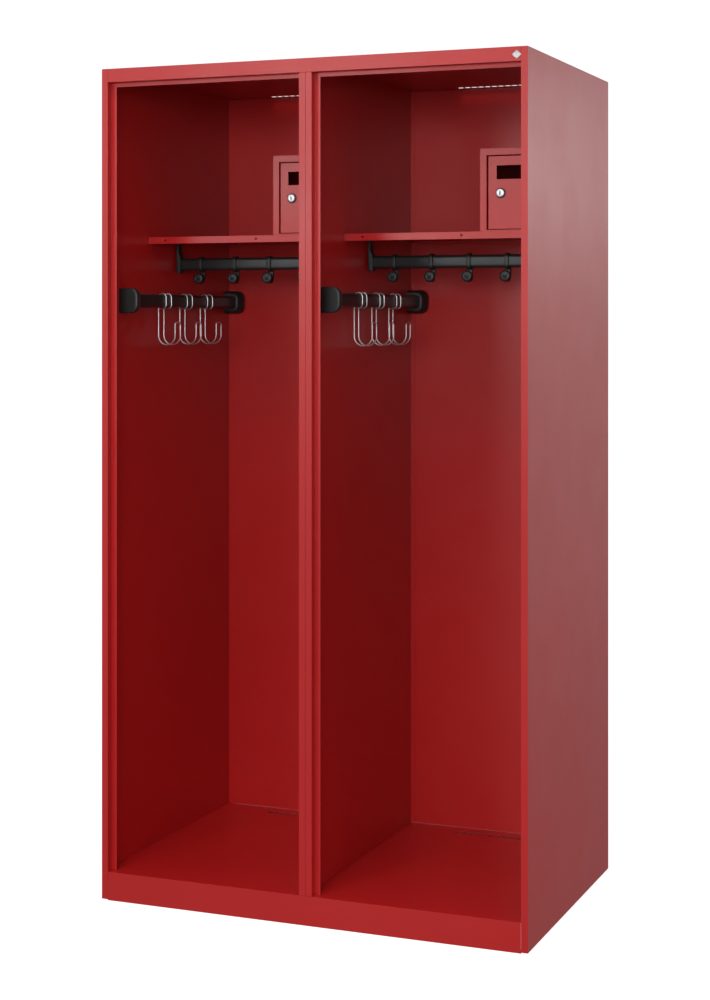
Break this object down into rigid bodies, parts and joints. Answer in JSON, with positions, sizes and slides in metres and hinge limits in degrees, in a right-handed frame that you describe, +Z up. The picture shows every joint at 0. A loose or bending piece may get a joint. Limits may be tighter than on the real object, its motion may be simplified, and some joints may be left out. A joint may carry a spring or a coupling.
{
  "type": "school locker",
  "caption": "Open-fronted double locker: two full-height compartments, each with a hat shelf, a lockable box, a coat rail with sliding hooks and a side rail with wire hooks.",
  "frame": {"origin": "on the floor, under the middle of the locker's width and depth", "axes": "+Z up, +X to the right and +Y to the back, as seen by someone standing in front of the openings"},
  "size_m": [1, 0.6, 1.85],
  "materials": {
    "red_powder_coat": "semi-gloss powder coat",
    "black_plastic": "fine moulded texture",
    "black_tube": "satin",
    "chrome": "bright plated",
    "steel": "zinc plated",
    "badge_silver": "satin"
  },
  "bodies": {
    "carcass": {"left_side_panel": "red_powder_coat", "right_side_panel": "red_powder_coat", "left_partition_leaf": "red_powder_coat", "right_partition_leaf": "red_powder_coat", "roof_panel": "red_powder_coat", "base_panel": "red_powder_coat", "left_back_panel": "red_powder_coat", "right_back_panel": "red_powder_coat", "badge": "badge_silver", "left_shelf_support_left": "red_powder_coat", "left_coat_rail_bracket_left": "black_plastic", "left_shelf_support_right": "red_powder_coat", "left_coat_rail_bracket_right": "black_plastic", "left_side_rail_cup_front": "black_plastic", "left_side_rail_cup_rear": "black_plastic", "left_shelf": "red_powder_coat", "left_coat_rail": "black_tube", "left_side_rail": "black_tube", "left_box_body": "red_powder_coat", "left_box_hinge_pin": "steel", "right_shelf_support_left": "red_powder_coat", "right_coat_rail_bracket_left": "black_plastic", "right_shelf_support_right": "red_powder_coat", "right_coat_rail_bracket_right": "black_plastic", "right_side_rail_cup_front": "black_plastic", "right_side_rail_cup_rear": "black_plastic", "right_shelf": "red_powder_coat", "right_coat_rail": "black_tube", "right_side_rail": "black_tube", "right_box_body": "red_powder_coat", "right_box_hinge_pin": "steel"},
    "left_box_door": {"left_box_door": "red_powder_coat", "left_lock_rosette": "black_plastic", "left_lock_barrel": "chrome", "left_lock_nut": "steel"},
    "left_lock": {"left_lock_plug": "chrome", "left_lock_cam": "steel"},
    "left_coat_hook_1": {"left_coat_hook_1": "black_plastic"},
    "left_coat_hook_2": {"left_coat_hook_2": "black_plastic"},
    "left_coat_hook_3": {"left_coat_hook_3": "black_plastic"},
    "left_coat_hook_4": {"left_coat_hook_4": "black_plastic"},
    "left_coat_hook_5": {"left_coat_hook_5": "black_plastic"},
    "left_wire_hook_1": {"left_wire_hook_1": "chrome"},
    "left_wire_hook_2": {"left_wire_hook_2": "chrome"},
    "left_wire_hook_3": {"left_wire_hook_3": "chrome"},
    "right_box_door": {"right_box_door": "red_powder_coat", "right_lock_rosette": "black_plastic", "right_lock_barrel": "chrome", "right_lock_nut": "steel"},
    "right_lock": {"right_lock_plug": "chrome", "right_lock_cam": "steel"},
    "right_coat_hook_1": {"right_coat_hook_1": "black_plastic"},
    "right_coat_hook_2": {"right_coat_hook_2": "black_plastic"},
    "right_coat_hook_3": {"right_coat_hook_3": "black_plastic"},
    "right_coat_hook_4": {"right_coat_hook_4": "black_plastic"},
    "right_coat_hook_5": {"right_coat_hook_5": "black_plastic"},
    "right_wire_hook_1": {"right_wire_hook_1": "chrome"},
    "right_wire_hook_2": {"right_wire_hook_2": "chrome"},
    "right_wire_hook_3": {"right_wire_hook_3": "chrome"}
  },
  "joints": [
    {"name": "left_box_door_hinge", "type": "hinge", "parent": "carcass", "child": "left_box_door", "pos_m": [-0.0227, -0.094, 1.5675], "axis": [0, 0, 1], "range_deg": [0, 95]},
    {"name": "left_lock_turn", "type": "hinge", "parent": "left_box_door", "child": "left_lock", "pos_m": [-0.1289, -0.09, 1.5665], "axis": [0, 1, 0], "range_deg": [0, 90]},
    {"name": "left_coat_hook_1_slide", "type": "slide", "parent": "carcass", "child": "left_coat_hook_1", "axis": [1, 0, 0], "range_m": [-0.035, 0.035]},
    {"name": "left_coat_hook_2_slide", "type": "slide", "parent": "carcass", "child": "left_coat_hook_2", "axis": [1, 0, 0], "range_m": [-0.035, 0.035]},
    {"name": "left_coat_hook_3_slide", "type": "slide", "parent": "carcass", "child": "left_coat_hook_3", "axis": [1, 0, 0], "range_m": [-0.035, 0.035]},
    {"name": "left_coat_hook_4_slide", "type": "slide", "parent": "carcass", "child": "left_coat_hook_4", "axis": [1, 0, 0], "range_m": [-0.035, 0.035]},
    {"name": "left_coat_hook_5_slide", "type": "slide", "parent": "carcass", "child": "left_coat_hook_5", "axis": [1, 0, 0], "range_m": [-0.035, 0.035]},
    {"name": "left_wire_hook_1_slide", "type": "slide", "parent": "carcass", "child": "left_wire_hook_1", "axis": [0, 1, 0], "range_m": [-0.035, 0.035]},
    {"name": "left_wire_hook_2_slide", "type": "slide", "parent": "carcass", "child": "left_wire_hook_2", "axis": [0, 1, 0], "range_m": [-0.035, 0.035]},
    {"name": "left_wire_hook_3_slide", "type": "slide", "parent": "carcass", "child": "left_wire_hook_3", "axis": [0, 1, 0], "range_m": [-0.035, 0.035]},
    {"name": "right_box_door_hinge", "type": "hinge", "parent": "carcass", "child": "right_box_door", "pos_m": [0.4775, -0.094, 1.5675], "axis": [0, 0, 1], "range_deg": [0, 95]},
    {"name": "right_lock_turn", "type": "hinge", "parent": "right_box_door", "child": "right_lock", "pos_m": [0.3713, -0.09, 1.5665], "axis": [0, 1, 0], "range_deg": [0, 90]},
    {"name": "right_coat_hook_1_slide", "type": "slide", "parent": "carcass", "child": "right_coat_hook_1", "axis": [1, 0, 0], "range_m": [-0.035, 0.035]},
    {"name": "right_coat_hook_2_slide", "type": "slide", "parent": "carcass", "child": "right_coat_hook_2", "axis": [1, 0, 0], "range_m": [-0.035, 0.035]},
    {"name": "right_coat_hook_3_slide", "type": "slide", "parent": "carcass", "child": "right_coat_hook_3", "axis": [1, 0, 0], "range_m": [-0.035, 0.035]},
    {"name": "right_coat_hook_4_slide", "type": "slide", "parent": "carcass", "child": "right_coat_hook_4", "axis": [1, 0, 0], "range_m": [-0.035, 0.035]},
    {"name": "right_coat_hook_5_slide", "type": "slide", "parent": "carcass", "child": "right_coat_hook_5", "axis": [1, 0, 0], "range_m": [-0.035, 0.035]},
    {"name": "right_wire_hook_1_slide", "type": "slide", "parent": "carcass", "child": "right_wire_hook_1", "axis": [0, 1, 0], "range_m": [-0.035, 0.035]},
    {"name": "right_wire_hook_2_slide", "type": "slide", "parent": "carcass", "child": "right_wire_hook_2", "axis": [0, 1, 0], "range_m": [-0.035, 0.035]},
    {"name": "right_wire_hook_3_slide", "type": "slide", "parent": "carcass", "child": "right_wire_hook_3", "axis": [0, 1, 0], "range_m": [-0.035, 0.035]}
  ]
}
